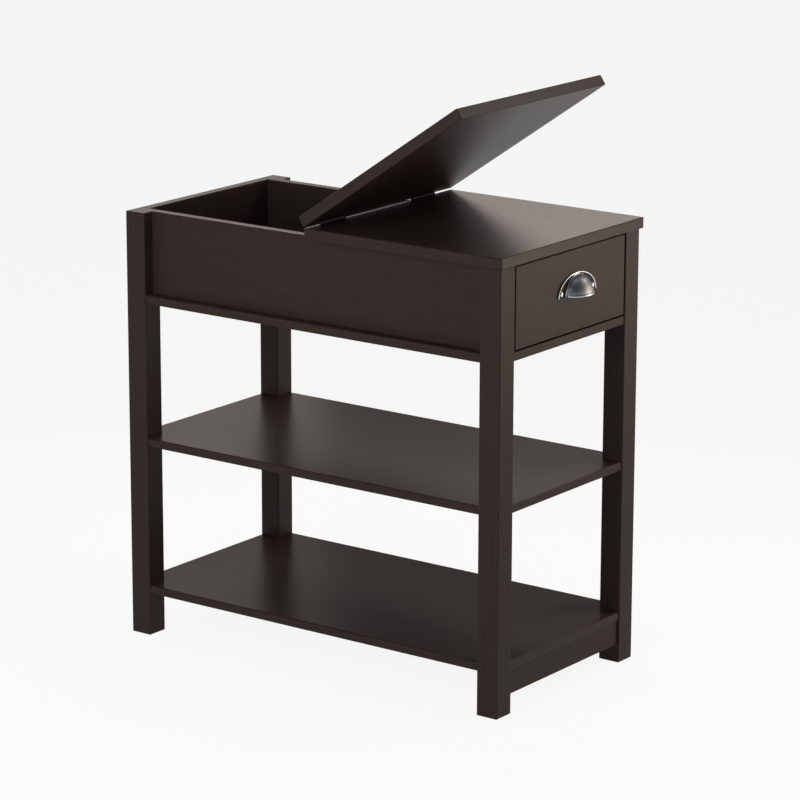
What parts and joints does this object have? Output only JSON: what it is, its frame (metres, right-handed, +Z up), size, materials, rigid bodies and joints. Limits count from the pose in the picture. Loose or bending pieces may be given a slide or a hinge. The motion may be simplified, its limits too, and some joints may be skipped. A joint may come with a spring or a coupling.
{
  "type": "lift top end table",
  "caption": "Narrow dark wood end table: square legs, hinged lift lid over a hidden compartment, front drawer with a cup pull, and open shelves below.",
  "frame": {"origin": "on the floor, at the middle of the bottom of the outer box at rest, lid up", "axes": "+Z up, X across the table, and +Y from the drawer's pull to the back, so the drawer faces -Y"},
  "size_m": [0.328, 0.6374, 0.7918],
  "materials": {
    "dark_lacquered_wood": "satin lacquer",
    "drawer_box_board": "matte laminate",
    "zinc_steel": "zinc plated",
    "hinge_steel": "blackened",
    "slide_steel": "powder coated",
    "roller_nylon": "matte",
    "cam_zinc": "cast zinc",
    "dowel_wood": "bare beech",
    "pull_pewter": "antique pewter",
    "pull_screw_steel": "polished"
  },
  "bodies": {
    "carcass": {"leg_front_left": "dark_lacquered_wood", "leg_front_right": "dark_lacquered_wood", "leg_back_left": "dark_lacquered_wood", "leg_back_right": "dark_lacquered_wood", "side_panel_left": "dark_lacquered_wood", "side_panel_right": "dark_lacquered_wood", "back_panel": "dark_lacquered_wood", "divider": "dark_lacquered_wood", "front_apron": "dark_lacquered_wood", "box_floor": "dark_lacquered_wood", "middle_shelf": "dark_lacquered_wood", "bottom_shelf": "dark_lacquered_wood", "fixed_top": "dark_lacquered_wood", "cam_bolts": "zinc_steel", "rail_screws": "zinc_steel", "front_axle_left": "zinc_steel", "front_axle_right": "zinc_steel", "hinge_top_leaf_left": "hinge_steel", "hinge_top_leaf_right": "hinge_steel", "hinge_pin_left": "hinge_steel", "hinge_pin_right": "hinge_steel", "hinge_top_screws": "hinge_steel", "cabinet_rail_left": "slide_steel", "cabinet_rail_right": "slide_steel", "cam_locks": "cam_zinc", "dowels": "dowel_wood"},
    "lid": {"lid": "dark_lacquered_wood", "hinge_lid_leaf_left": "hinge_steel", "hinge_lid_leaf_right": "hinge_steel", "hinge_lid_screws": "hinge_steel"},
    "drawer": {"drawer_front": "dark_lacquered_wood", "drawer_side_left": "drawer_box_board", "drawer_side_right": "drawer_box_board", "drawer_back": "drawer_box_board", "drawer_bottom": "drawer_box_board", "cup_pull": "pull_pewter", "pull_screws": "pull_screw_steel", "drawer_runner_left": "slide_steel", "drawer_runner_right": "slide_steel", "runner_screws": "zinc_steel", "rear_axle_left": "zinc_steel", "rear_axle_right": "zinc_steel", "drawer_cam_bolts": "zinc_steel", "drawer_cam_locks": "cam_zinc", "drawer_screws": "zinc_steel"},
    "front_roller_left": {"front_roller_left": "roller_nylon"},
    "front_roller_right": {"front_roller_right": "roller_nylon"},
    "rear_roller_left": {"rear_roller_left": "roller_nylon"},
    "rear_roller_right": {"rear_roller_right": "roller_nylon"}
  },
  "joints": [
    {"name": "lid_hinge", "type": "hinge", "parent": "carcass", "child": "lid", "pos_m": [0, 0.01275, 0.6105], "axis": [1, 0, 0], "range_deg": [-146, 34]},
    {"name": "drawer_slide", "type": "slide", "parent": "carcass", "child": "drawer", "axis": [0, -1, 0], "range_m": [0, 0.19]},
    {"name": "front_roller_spin_left", "type": "hinge", "parent": "carcass", "child": "front_roller_left", "pos_m": [0, -0.26975, 0.498], "axis": [1, 0, 0], "range_deg": [0, 1680]},
    {"name": "front_roller_spin_right", "type": "hinge", "parent": "carcass", "child": "front_roller_right", "pos_m": [0, -0.26975, 0.498], "axis": [1, 0, 0], "range_deg": [0, 1680]},
    {"name": "rear_roller_spin_left", "type": "hinge", "parent": "drawer", "child": "rear_roller_left", "pos_m": [0, -0.04075, 0.498], "axis": [1, 0, 0], "range_deg": [0, 1680]},
    {"name": "rear_roller_spin_right", "type": "hinge", "parent": "drawer", "child": "rear_roller_right", "pos_m": [0, -0.04075, 0.498], "axis": [1, 0, 0], "range_deg": [0, 1680]}
  ],
  "couplings": [
    {"joint": "front_roller_spin_left", "follows": "drawer_slide", "rad_per_m": 153.85},
    {"joint": "front_roller_spin_right", "follows": "drawer_slide", "rad_per_m": 153.85},
    {"joint": "rear_roller_spin_left", "follows": "drawer_slide", "rad_per_m": 153.85},
    {"joint": "rear_roller_spin_right", "follows": "drawer_slide", "rad_per_m": 153.85}
  ]
}
